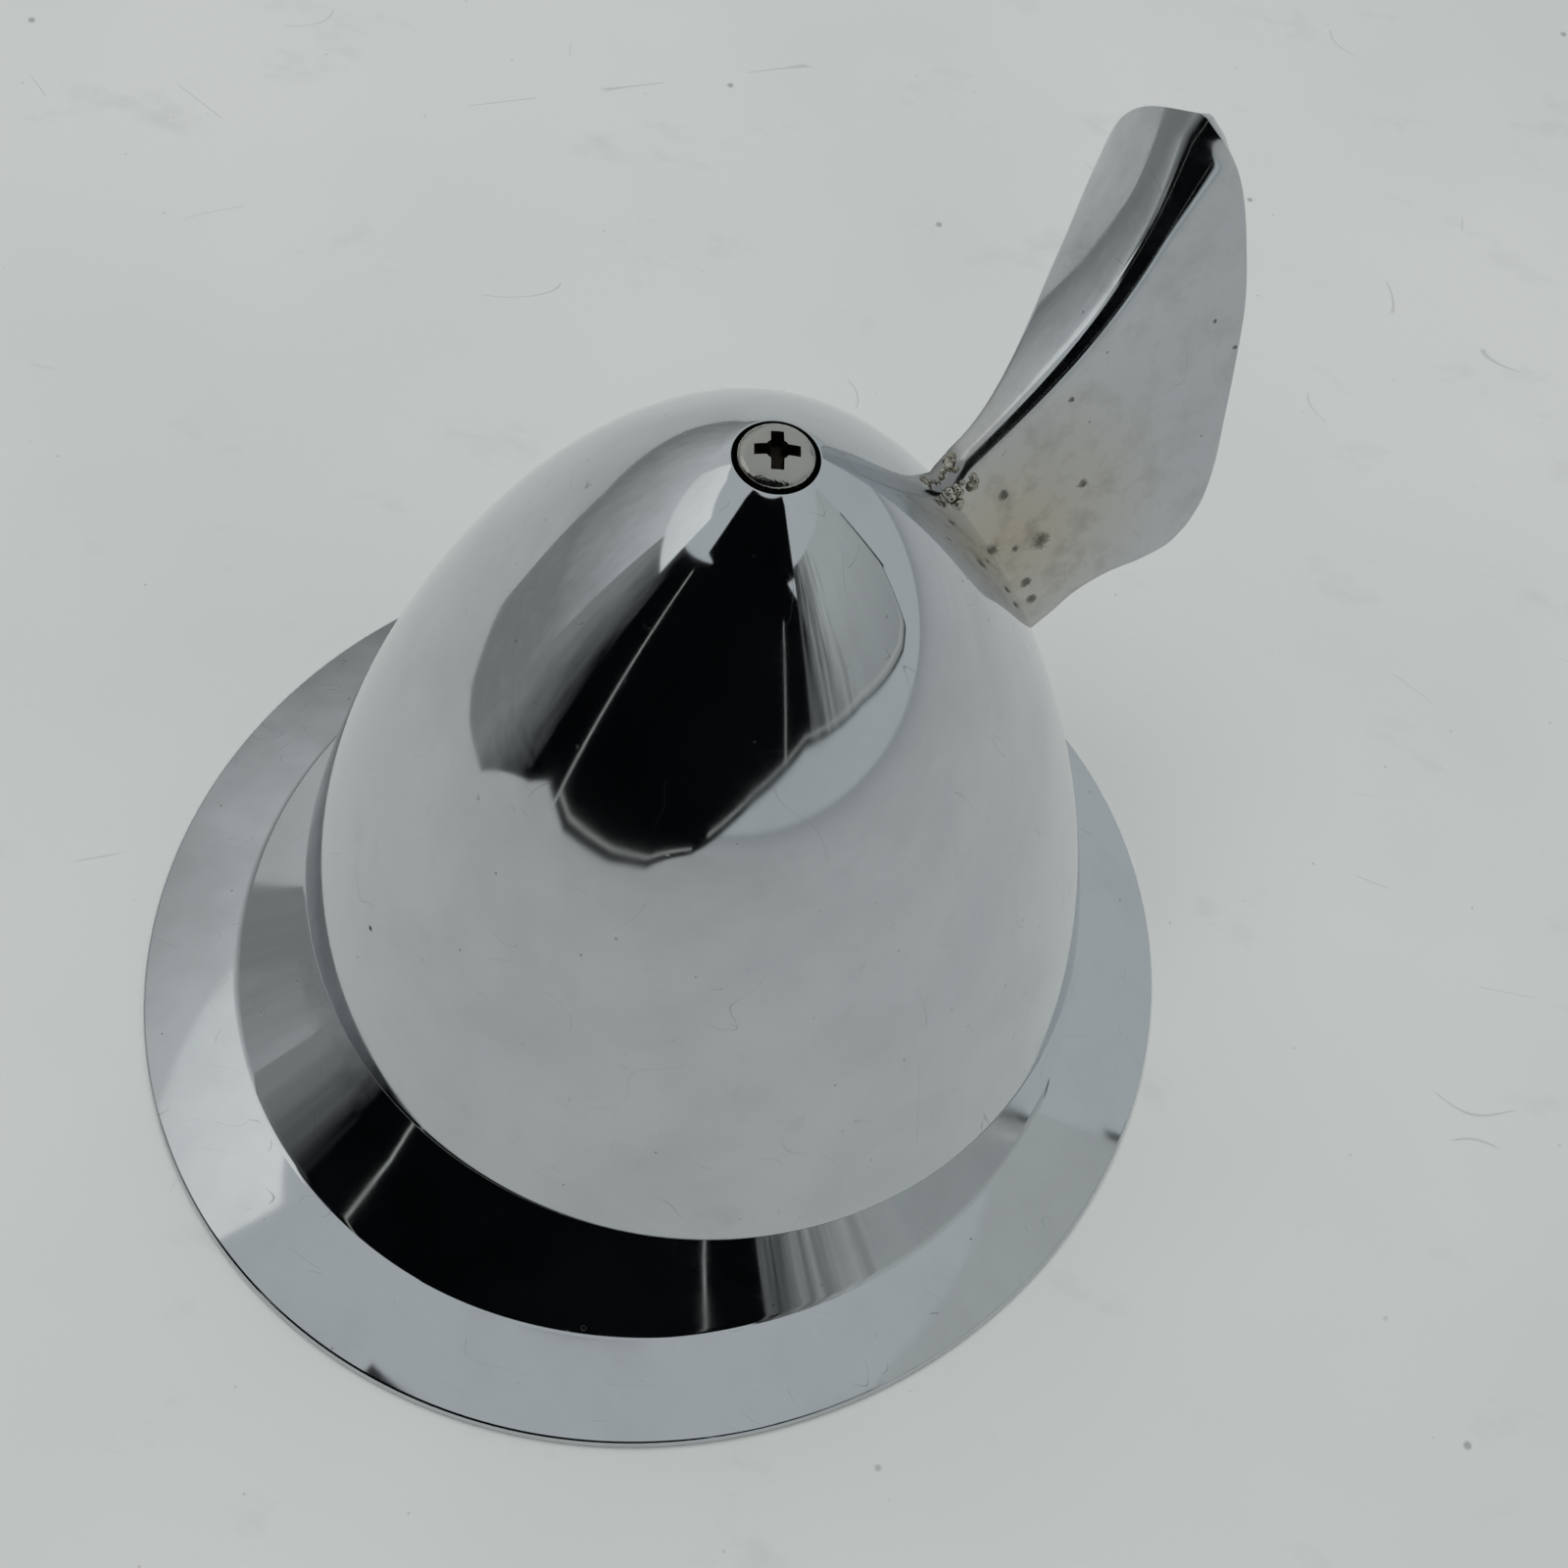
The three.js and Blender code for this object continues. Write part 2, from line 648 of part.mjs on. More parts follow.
const idlerPinion = () => pinion(idlerAzimuth + 180, wheelTop + gap, idlerStackTop);

// the rotor's pinion is cut on the end of a sleeve that stands on the arm
function rotorPinion() {
  const teeth = pinion(trainAzimuth + 180, wheelBottom - pinionOverlap, rotorStackTop);
  const sleeve = ring(arborRadius + gap, shoulderRadius + gap, armTop + gap, wheelBottom, 24);
  return geometryOf(solid(teeth).add(solid(sleeve)));
}

function rotorArm() {
  const neck = Math.acos((armBossRadius - armEndRadius) / strikerPinReach);
  const shape = new THREE.Shape()
    .absarc(0, 0, armBossRadius, neck, Math.PI - neck)
    .absarc(-strikerPinReach, 0, armEndRadius, Math.PI - neck, Math.PI + neck)
    .absarc(0, 0, armBossRadius, Math.PI + neck, -neck)
    .absarc(strikerPinReach, 0, armEndRadius, -neck, neck);
  roundHole(shape, centre, arborRadius + gap);
  for (const side of [-1, 1]) {
    roundHole(shape, new THREE.Vector2(side * strikerPinReach, 0), strikerPinRadius + gap);
  }
  return flatPiece(shape, armBottom, armTop).rotateZ(armAzimuth * degrees);
}

function striker() {
  const bore = strikerPinRadius + strikerThrow + gap;
  return ring(bore, strikerRadius, strikerBottom, strikerTop, 24);
}

function strikerPin() {
  const headRadius = strikerPinRadius + strikerThrow + 3 * gap;
  return turned([
    [0, armBottom],
    [strikerPinRadius, armBottom],
    [strikerPinRadius, strikerTop + gap],
    [headRadius, strikerTop + gap],
    [headRadius * 0.8, strikerHeadTop],
    [0, strikerHeadTop],
  ], 16);
}

// ---- assembly ----------------------------------------------------------------------------------------
const bell = new THREE.Group();
const works = new THREE.Group();
works.position.x = spindleOffset;
bell.add(works);

piece(bell, "base_dish", baseDish(), chrome);
piece(works, "works_plate", worksPlate(), plainSteel);
rivetPlaces.forEach((place, i) => piece(works, `plate_rivet_${i + 1}`, plateRivet(), plainSteel, place));
piece(works, "spindle_bush", spindleBush(), brass);
piece(works, "bush_nut", bushNut(), zincSteel);
piece(works, "bracket_nut_left", bracketNut(), zincSteel, new THREE.Vector2(-nutSpacing / 2, 0));
piece(works, "bracket_nut_right", bracketNut(), zincSteel, new THREE.Vector2(nutSpacing / 2, 0));
piece(works, "idler_arbor", arbor(wheelBottom - gap, idlerStackTop), plainSteel, idlerPlace);
piece(works, "idler_clip", arborClip(idlerStackTop), springSteel, idlerPlace);
piece(works, "rotor_arbor", arbor(armBottom - gap, rotorStackTop), plainSteel, rotorPlace);
piece(works, "rotor_clip", arborClip(rotorStackTop), springSteel, rotorPlace);
stopPlaces.forEach((place, i) => {
  piece(works, `stop_post_${i + 1}`, post(stopPostRadius, driveBottom - 3 * gap), plainSteel, place);
});
piece(works, "spring_post", post(springPostRadius, springPostTop), plainSteel, springPostPlace);
piece(works, "return_spring", returnSpring(), springSteel);

piece(works, "gong_dome", gong(), chrome);
piece(works, "thumb_lever", thumbLever(), chrome);
piece(works, "lever_braze", leverBraze(), brazeAlloy);
piece(works, "apex_screw", apexScrew(), chrome);
piece(works, "apex_washer", washer(screwHoleRadius, spindleRadius + washerLip, seatWasherTop), zincSteel);
piece(works, "spindle", spindle(), plainSteel);
piece(works, "drive_gear", driveGear(), brass);
piece(works, "stop_pin", stopPin(), plainSteel, stopPinPlace);
piece(works, "thrust_washer", washer(journalRadius + gap, bushRadius + washerLip, thrustWasherTop), brass);
piece(works, "spindle_clip", spindleClip(), springSteel);

piece(works, "idler_wheel", arborGear(wheelTeeth, trainAzimuth, wheelBottom, wheelTop), brass, idlerPlace);
piece(works, "idler_pinion", idlerPinion(), plainSteel, idlerPlace);
piece(works, "rotor_arm", rotorArm(), zincSteel, rotorPlace);
piece(works, "rotor_pinion", rotorPinion(), plainSteel, rotorPlace);
strikerPlaces.forEach((place, i) => {
  piece(works, `striker_pin_${i + 1}`, strikerPin(), plainSteel, place);
  piece(works, `striker_${i + 1}`, striker(), zincSteel, place);
});

export default bell;
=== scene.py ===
import json
import math

import bmesh
import bpy
from mathutils import Matrix, Vector, geometry, noise


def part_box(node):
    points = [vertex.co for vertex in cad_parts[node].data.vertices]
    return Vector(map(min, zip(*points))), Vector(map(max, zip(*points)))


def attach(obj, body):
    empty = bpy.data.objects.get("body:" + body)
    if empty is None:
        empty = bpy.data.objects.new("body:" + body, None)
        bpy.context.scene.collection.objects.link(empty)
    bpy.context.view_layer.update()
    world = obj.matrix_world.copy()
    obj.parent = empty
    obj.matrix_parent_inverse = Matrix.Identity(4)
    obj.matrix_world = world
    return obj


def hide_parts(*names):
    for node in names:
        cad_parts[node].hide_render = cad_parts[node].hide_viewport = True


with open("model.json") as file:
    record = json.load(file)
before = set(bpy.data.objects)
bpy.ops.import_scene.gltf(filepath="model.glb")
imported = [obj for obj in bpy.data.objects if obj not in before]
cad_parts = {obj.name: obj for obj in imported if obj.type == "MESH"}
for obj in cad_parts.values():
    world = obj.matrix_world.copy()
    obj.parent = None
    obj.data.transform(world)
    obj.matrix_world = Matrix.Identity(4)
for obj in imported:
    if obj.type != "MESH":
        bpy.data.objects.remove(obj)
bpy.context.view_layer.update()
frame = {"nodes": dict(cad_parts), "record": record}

MM = 0.001


# ---- measures, in millimetres, from the frame's boxes and a few of this bell's own sizes -----------------

def box_mm(node):
    low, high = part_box(node)
    return low / MM, high / MM


dish_low, dish_high = box_mm("base_dish")
gong_low, gong_high = box_mm("gong_dome")
GONG_AXIS = Vector(((gong_low.x + gong_high.x) / 2, 0, 0))
RIM_RADIUS = (gong_high.x - gong_low.x) / 2
RIM_HEIGHT = gong_low.z
APEX_HEIGHT = gong_high.z
GONG_WALL = 1.0
RIM_LEAN = 10.4
APEX_SLOPE = 33.6
RIM_PULL = 18.3
APEX_PULL = 18.8
SEAT_RADIUS = 2.72
SEAT_DEPTH = 0.45
HOLE_RADIUS = 1.8

FOOT_RADIUS = (dish_high.x - dish_low.x) / 2
PLATFORM_TOP = dish_high.z
FOOT_FLAT = 1.1
FLANGE_EDGE = 1.0
CREASE_RADIUS = 34.4
CREASE_HEIGHT = 4.3
NECK_RADIUS = 27.0
NECK_HEIGHT = 10.8
PLATFORM_RADIUS = 23.1
DISH_WALL = 0.8
DISH_OVALITY = 0.033
BUSH_HOLE = 3.9

SCREW_HEAD_RADIUS = 2.42
SCREW_RISE = box_mm("apex_screw")[1].z - APEX_HEIGHT

SCREW_SHANK_RADIUS = 1.5
SCREW_HEAD_SIDE = 0.35
DRIVER_CUT = (3.0, 0.82, 2.2)
DRIVER_TURNS = (12, 102)

LEVER_THICKNESS = 1.1
LEVER_EDGE_ROUND = 0.22
LEVER_LENGTH = 26.6
LEVER_ROOT = 13.0
LEVER_HEADING = 59.8
LEVER_RISE = 51.1
LEVER_LEAN = 18.0
LEVER_BOW = 2.15
LEVER_DRIFT = (0.4, 1.7)
LEVER_DROP = 10.8
LEVER_AZIMUTH = 44.0
LEVER_STANDOFF = 2.6
NARROW_TURN = -3
NARROW_CURL = 17.0
# pits eaten in the plating by the braze: (along the rib, across the broad wing, radius)
ROOT_PITS = [(-1.3, 4.9, 0.4), (1.4, 10.7, 0.4), (-3.6, 10.4, 0.75), (-4.8, 8.7, 0.28), (-5.4, 6.9, 0.5),
             (-6.9, 11.6, 0.38), (-8.0, 13.0, 0.4), (6.7, 5.2, 0.22), (15.3, 12.4, 0.18), (14.2, 15.5, 0.16)]
# edges of the flattened leaf: (along the rib, to the side of it)
BROAD_EDGE = [(-13, 13), (-10.3, 14.1), (-8.5, 14.9), (-6.5, 15.7), (-4.3, 17.4), (-2.6, 19.4), (-0.4, 21.1),
              (2.3, 20.6), (5.4, 18.7), (9.3, 15.6), (13, 12.9), (17.6, 9.8), (20.8, 7.2), (23.5, 4.7),
              (24.9, 2.9), (26.0, 0.6), (26.6, -1)]
NARROW_EDGE = [(-13, -3.2), (-2.1, -2.4), (0.4, -2), (3, -2.4), (6.2, -3.7), (9, -5.3), (12.1, -7.2),
               (14.7, -8.6), (17, -9.9), (18.8, -10.6), (20.8, -10.6), (22.5, -9.6), (23.8, -7.9), (25, -5.6),
               (26, -3.2), (26.6, -1.6)]


# ---- colour and node helpers -----------------------------------------------------------------------------

def linear(code):
    """sRGB hex to linear RGBA"""
    channels = [int(code[i:i + 2], 16) / 255 for i in (0, 2, 4)]
    return [c / 12.92 if c <= 0.04045 else ((c + 0.055) / 1.055) ** 2.4 for c in channels] + [1.0]


def add(tree, kind, inputs=None, **settings):
    """adds a node, sets its settings, and sets or links its inputs"""
    node = tree.nodes.new(kind)
    for key, value in settings.items():
        setattr(node, key, value)
    for key, value in (inputs or {}).items():
        if isinstance(value, bpy.types.NodeSocket):
            tree.links.new(value, node.inputs[key])
        else:
            node.inputs[key].default_value = value
    return node


def new_material(name):
    material = bpy.data.materials.new(name)
    material.use_nodes = True
    tree = material.node_tree
    tree.nodes.clear()
    shader = add(tree, "ShaderNodeBsdfPrincipled")
    add(tree, "ShaderNodeOutputMaterial", {"Surface": shader.outputs[0]})
    return material, tree, shader


def place(tree, scale=(1, 1, 1), turn=(0, 0, 0), at=(0, 0, 0)):
    """object coordinates, moved, turned and scaled"""
    here = add(tree, "ShaderNodeTexCoord")
    mapping = add(tree, "ShaderNodeMapping", {"Vector": here.outputs["Object"], "Scale": scale,
                                              "Rotation": turn, "Location": at})
    return mapping.outputs[0]


def per_metre(size_mm):
    """texture scale for a pattern of that size"""
    return 1 / (size_mm * MM)


def ramp(tree, value, low, high, to_low=0.0, to_high=1.0):
    return add(tree, "ShaderNodeMapRange", {"Value": value, "From Min": low, "From Max": high,
                                            "To Min": to_low, "To Max": to_high}).outputs[0]


def math_node(tree, operation, a, b):
    return add(tree, "ShaderNodeMath", {0: a, 1: b}, operation=operation).outputs[0]


def distance_node(tree, here, point):
    return add(tree, "ShaderNodeVectorMath", {0: here, 1: point}, operation="DISTANCE").outputs["Value"]


def noise_of(tree, where, size_mm, detail=2.0, roughness=0.5, distortion=0.0):
    return add(tree, "ShaderNodeTexNoise", {"Vector": where, "Scale": per_metre(size_mm), "Detail": detail,
                                            "Roughness": roughness, "Distortion": distortion}).outputs[0]


def mix_colour(tree, share, a, b):
    return add(tree, "ShaderNodeMix", {0: share, 6: a, 7: b}, data_type="RGBA").outputs[2]


def specks(tree, where, cell_mm, speck_mm, share):
    """1 inside a few small round specks, 0 elsewhere; share of the cells have one"""
    cells = add(tree, "ShaderNodeTexVoronoi", {"Vector": where, "Scale": per_metre(cell_mm)})
    inside = ramp(tree, cells.outputs["Distance"], speck_mm / cell_mm, 0.5 * speck_mm / cell_mm)
    pick = add(tree, "ShaderNodeSeparateColor", {"Color": cells.outputs["Color"]}).outputs[0]
    chosen = math_node(tree, "LESS_THAN", pick, share)
    return math_node(tree, "MULTIPLY", inside, chosen)


def hairlines(tree, where, size_mm, width, mask_size_mm, cover):
    """thin wandering lines where a noise crosses its middle, kept in patches"""
    field = noise_of(tree, where, size_mm, detail=0.0)
    away = math_node(tree, "ABSOLUTE", math_node(tree, "SUBTRACT", field, 0.5), 0.0)
    line = ramp(tree, away, width, 0.0)
    patch = noise_of(tree, where, mask_size_mm, detail=0.0)
    return math_node(tree, "MULTIPLY", line, ramp(tree, patch, cover, cover + 0.03))


# ---- materials -------------------------------------------------------------------------------------------

def chromium_plate(name, tint="c9cccf", polish=0.045, stain=None, reach_mm=13.0, pits=()):
    """decorative chromium over polished steel: mirror-bright, a faint wave from the pressing,
    wiping scratches, dust and pinholes where the plate has let rust through; a stained piece
    is also browned, dulled and pitted round the spot where it was brazed"""
    material, tree, shader = new_material(name)
    here = place(tree)
    wave = noise_of(tree, here, 22, detail=1.0)
    smear = noise_of(tree, here, 9, detail=4.0, roughness=0.6)
    fine = noise_of(tree, here, 0.7, detail=2.0)
    wipes = hairlines(tree, place(tree, (1, 2.2, 0.7), (0.4, 0.2, 0.7)), 6, 0.0025, 5, 0.6)
    nicks = hairlines(tree, place(tree, (0.6, 1, 2.0), (1.1, 0.5, 2.1)), 4, 0.004, 2, 0.68)
    pinholes = specks(tree, here, 6.5, 0.3, 0.3)
    dust = specks(tree, place(tree, at=(0.013, 0.007, 0.003)), 2.1, 0.13, 0.5)
    marks = math_node(tree, "MAXIMUM", wipes, nicks)
    spots = math_node(tree, "MAXIMUM", pinholes, math_node(tree, "MULTIPLY", dust, 0.5))
    colour = mix_colour(tree, ramp(tree, smear, 0.45, 0.75, 0.0, 0.3), linear(tint), linear("aeb0b2"))
    colour = mix_colour(tree, math_node(tree, "MULTIPLY", marks, 0.45), colour, linear("6f7173"))
    colour = mix_colour(tree, spots, colour, linear("2c2a28"))
    rough = ramp(tree, smear, 0.3, 0.75, polish * 0.7, polish * 2.0)
    rough = math_node(tree, "ADD", rough, math_node(tree, "MULTIPLY", spots, 0.4))
    rough = math_node(tree, "ADD", rough, math_node(tree, "MULTIPLY", marks, 0.12))
    height = math_node(tree, "ADD", wave, math_node(tree, "MULTIPLY", fine, 0.004))
    height = math_node(tree, "SUBTRACT", height, math_node(tree, "MULTIPLY", spots, 0.12))
    if stain is not None:
        away = distance_node(tree, here, stain)
        ragged = math_node(tree, "ADD", away, math_node(tree, "MULTIPLY", smear, 8 * MM))
        near = ramp(tree, ragged, (reach_mm + 8) * MM, (reach_mm - 4) * MM)
        eaten = noise_of(tree, here, 0.9, detail=4.0, roughness=0.7)
        soot = ramp(tree, noise_of(tree, here, 2.6, detail=4.0, roughness=0.65), 0.48, 0.72)
        hollow = 0.0
        for place_of_pit, size in pits:
            gone = distance_node(tree, here, place_of_pit)
            gone = math_node(tree, "ADD", gone, math_node(tree, "MULTIPLY", eaten, 2.2 * size * MM))
            hollow = math_node(tree, "MAXIMUM", ramp(tree, gone, 2.2 * size * MM, 1.5 * size * MM), hollow)
        colour = mix_colour(tree, math_node(tree, "MULTIPLY", near, 0.7), colour, linear("b5a88e"))
        colour = mix_colour(tree, math_node(tree, "MULTIPLY", soot, ramp(tree, near, 0, 1, 0.16, 0.4)), colour,
                            linear("6c665c"))
        colour = mix_colour(tree, math_node(tree, "MULTIPLY", hollow, 0.7), colour, linear("403c35"))
        rough = math_node(tree, "ADD", rough, math_node(tree, "MULTIPLY", near, 0.16))
        rough = math_node(tree, "ADD", rough, math_node(tree, "MULTIPLY", soot, 0.1))
        rough = math_node(tree, "ADD", rough, math_node(tree, "MULTIPLY", hollow, 0.2))
        height = math_node(tree, "SUBTRACT", height, math_node(tree, "MULTIPLY", hollow, 2.0))
    bump = add(tree, "ShaderNodeBump", {"Height": height, "Strength": 1.0, "Distance": 0.05 * MM})
    shader.inputs["Metallic"].default_value = 1.0
    tree.links.new(colour, shader.inputs["Base Color"])
    tree.links.new(rough, shader.inputs["Roughness"])
    tree.links.new(bump.outputs[0], shader.inputs["Normal"])
    return material


def worked_metal(name, tint, shade, rough, grain_mm, stretch=(1, 1, 1), depth=0.01):
    """a turned, blanked or drawn metal: two tones in its grain and a fine tool mark"""
    material, tree, shader = new_material(name)
    where = place(tree, stretch)
    grain = noise_of(tree, where, grain_mm, detail=4.0, roughness=0.65)
    cloud = noise_of(tree, place(tree), grain_mm * 9, detail=3.0)
    colour = mix_colour(tree, ramp(tree, cloud, 0.3, 0.7), linear(tint), linear(shade))
    tree.links.new(colour, shader.inputs["Base Color"])
    tree.links.new(ramp(tree, grain, 0.3, 0.7, rough * 0.75, rough * 1.3), shader.inputs["Roughness"])
    bump = add(tree, "ShaderNodeBump", {"Height": grain, "Strength": 0.6, "Distance": depth * MM})
    tree.links.new(bump.outputs[0], shader.inputs["Normal"])
    shader.inputs["Metallic"].default_value = 1.0
    return material


def braze_alloy():
    """silver-brown braze: lumpy, half plated over, dark in its pores"""
    material, tree, shader = new_material("tarnished_braze")
    here = place(tree)
    lumps = noise_of(tree, here, 1.1, detail=4.0, roughness=0.6)
    pores = specks(tree, here, 0.9, 0.22, 0.5)
    colour = mix_colour(tree, ramp(tree, lumps, 0.35, 0.65), linear("c2beb2"), linear("857f72"))
    colour = mix_colour(tree, math_node(tree, "MULTIPLY", pores, 0.8), colour, linear("2a2622"))
    height = math_node(tree, "SUBTRACT", lumps, math_node(tree, "MULTIPLY", pores, 0.8))
    bump = add(tree, "ShaderNodeBump", {"Height": height, "Strength": 1.0, "Distance": 0.1 * MM})
    tree.links.new(colour, shader.inputs["Base Color"])
    tree.links.new(ramp(tree, lumps, 0.3, 0.7, 0.14, 0.42), shader.inputs["Roughness"])
    tree.links.new(bump.outputs[0], shader.inputs["Normal"])
    shader.inputs["Metallic"].default_value = 1.0
    return material


# ---- mesh helpers ----------------------------------------------------------------------------------------

def polar(reach, degrees):
    return Vector((reach * math.cos(math.radians(degrees)), reach * math.sin(math.radians(degrees))))


def finished(name, bm, body, material, replaced=(), sharp=40):
    """turns a bmesh in millimetres into a piece that rides on a body"""
    bmesh.ops.scale(bm, vec=(MM, MM, MM), verts=bm.verts)
    mesh = bpy.data.meshes.new(name)
    for face in bm.faces:
        face.smooth = True
    bm.to_mesh(mesh)
    bm.free()
    mesh.set_sharp_from_angle(angle=math.radians(sharp))
    piece = bpy.data.objects.new(name, mesh)
    bpy.context.scene.collection.objects.link(piece)
    mesh.materials.append(material)
    if body:
        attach(piece, body)
    if replaced:
        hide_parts(*replaced)
    return piece


def rounded(corners):
    """a profile of (radius, height) corners, each with an optional rounding, as a list of points"""
    points = []
    for i, corner in enumerate(corners):
        here = Vector(corner[:2])
        size = corner[2] if len(corner) > 2 else 0
        if not size or i in (0, len(corners) - 1):
            points.append(here)
            continue
        before = Vector(corners[i - 1][:2]) - here
        after = Vector(corners[i + 1][:2]) - here
        reach = min(size, before.length * 0.45, after.length * 0.45)
        start = here + before.normalized() * reach
        end = here + after.normalized() * reach
        for t in (0, 0.25, 0.5, 0.75, 1):
            points.append(start * (1 - t) ** 2 + here * 2 * t * (1 - t) + end * t * t)
    return points


def spun(profile, steps=180, closed=True):
    """a profile of (radius, height) points turned about the vertical axis"""
    bm = bmesh.new()
    verts = [bm.verts.new((point[0], 0, point[1])) for point in profile]
    pairs = list(zip(verts, verts[1:])) + ([(verts[-1], verts[0])] if closed else [])
    edges = [bm.edges.new(pair) for pair in pairs]
    bmesh.ops.spin(bm, geom=verts + edges, cent=(0, 0, 0), axis=(0, 0, 1), angle=math.tau, steps=steps,
                   use_merge=True)
    bmesh.ops.remove_doubles(bm, verts=bm.verts, dist=1e-5)
    bmesh.ops.dissolve_degenerate(bm, edges=bm.edges, dist=1e-5)
    bmesh.ops.recalc_face_normals(bm, faces=bm.faces)
    return bm


# ---- gong ------------------------------------------------------------------------------------------------

def gong_face(count=72):
    rim = Vector((RIM_RADIUS, RIM_HEIGHT, 0))
    apex = Vector((SEAT_RADIUS, APEX_HEIGHT, 0))
    rim_pull = rim + polar(RIM_PULL, 90 + RIM_LEAN).to_3d()
    apex_pull = apex + polar(APEX_PULL, -APEX_SLOPE).to_3d()
    return [point.xy for point in geometry.interpolate_bezier(rim, rim_pull, apex_pull, apex, count)]


GONG_FACE = gong_face()


def gong_radius(height):
    for below, above in zip(GONG_FACE, GONG_FACE[1:]):
        if below.y <= height <= above.y:
            return below.x + (above.x - below.x) * (height - below.y) / (above.y - below.y)
    return GONG_FACE[0].x if height < GONG_FACE[0].y else 0.0


def offset_face(face, distance):
    moved = []
    for i, point in enumerate(face):
        along = face[min(i + 1, len(face) - 1)] - face[max(i - 1, 0)]
        moved.append(point + Vector((-along.y, along.x)).normalized() * distance)
    return moved


def gong_shell(chrome):
    seat_bottom = APEX_HEIGHT - SEAT_DEPTH - (SEAT_RADIUS - HOLE_RADIUS)
    land = seat_bottom - GONG_WALL
    inner = [point for point in offset_face(GONG_FACE, GONG_WALL) if point.y < land - 0.2]
    lip = Vector((-0.15, 0.25))
    top = rounded([GONG_FACE[-2], (SEAT_RADIUS, APEX_HEIGHT, 0.16), (SEAT_RADIUS, APEX_HEIGHT - SEAT_DEPTH, 0.1),
                   (HOLE_RADIUS, seat_bottom, 0.1), (HOLE_RADIUS, land, 0.1),
                   (inner[-1].x - 0.5, land, 0.3), inner[-2]])
    rim = rounded([inner[1], (inner[0].x, RIM_HEIGHT, 0.3), (RIM_RADIUS, RIM_HEIGHT, 0.45), GONG_FACE[1]])
    profile = list(rim)[:-1] + GONG_FACE[1:-2] + list(top)[:-1] + list(reversed(inner[2:-1]))
    bm = spun(profile, 256)
    bmesh.ops.translate(bm, vec=GONG_AXIS, verts=bm.verts)
    return finished("gong_shell", bm, "gong", chrome, ["gong_dome"])


# ---- dish ------------------------------------------------------------------------------------------------

def base_dish(chrome):
    profile = rounded([
        (BUSH_HOLE, PLATFORM_TOP - DISH_WALL),
        (PLATFORM_RADIUS - 0.5, PLATFORM_TOP - DISH_WALL, 0.6),
        (NECK_RADIUS - 0.65, NECK_HEIGHT - 0.5, 3.0),
        (CREASE_RADIUS - 0.55, CREASE_HEIGHT - 0.65, 0.3),
        (FOOT_RADIUS - FOOT_FLAT, 0, 0.15),
        (FOOT_RADIUS, 0, 0.12),
        (FOOT_RADIUS, FLANGE_EDGE, 0.25),
        (CREASE_RADIUS, CREASE_HEIGHT, 0.35),
        (NECK_RADIUS, NECK_HEIGHT, 4.0),
        (PLATFORM_RADIUS, PLATFORM_TOP - 0.2, 0.9),
        (PLATFORM_RADIUS - 1.2, PLATFORM_TOP),
        (BUSH_HOLE, PLATFORM_TOP),
    ])
    bm = spun(profile, 256)
    bmesh.ops.rotate(bm, cent=(0, 0, 0), matrix=Matrix.Rotation(-math.pi / 4, 3, "Z"), verts=bm.verts)
    bmesh.ops.scale(bm, vec=(1 + DISH_OVALITY, 1 - DISH_OVALITY, 1), verts=bm.verts)
    bmesh.ops.rotate(bm, cent=(0, 0, 0), matrix=Matrix.Rotation(math.pi / 4, 3, "Z"), verts=bm.verts)
    return finished("base_dish_pressing", bm, "base", chrome, ["base_dish"])


# ---- apex screw ------------------------------------------------------------------------------------------

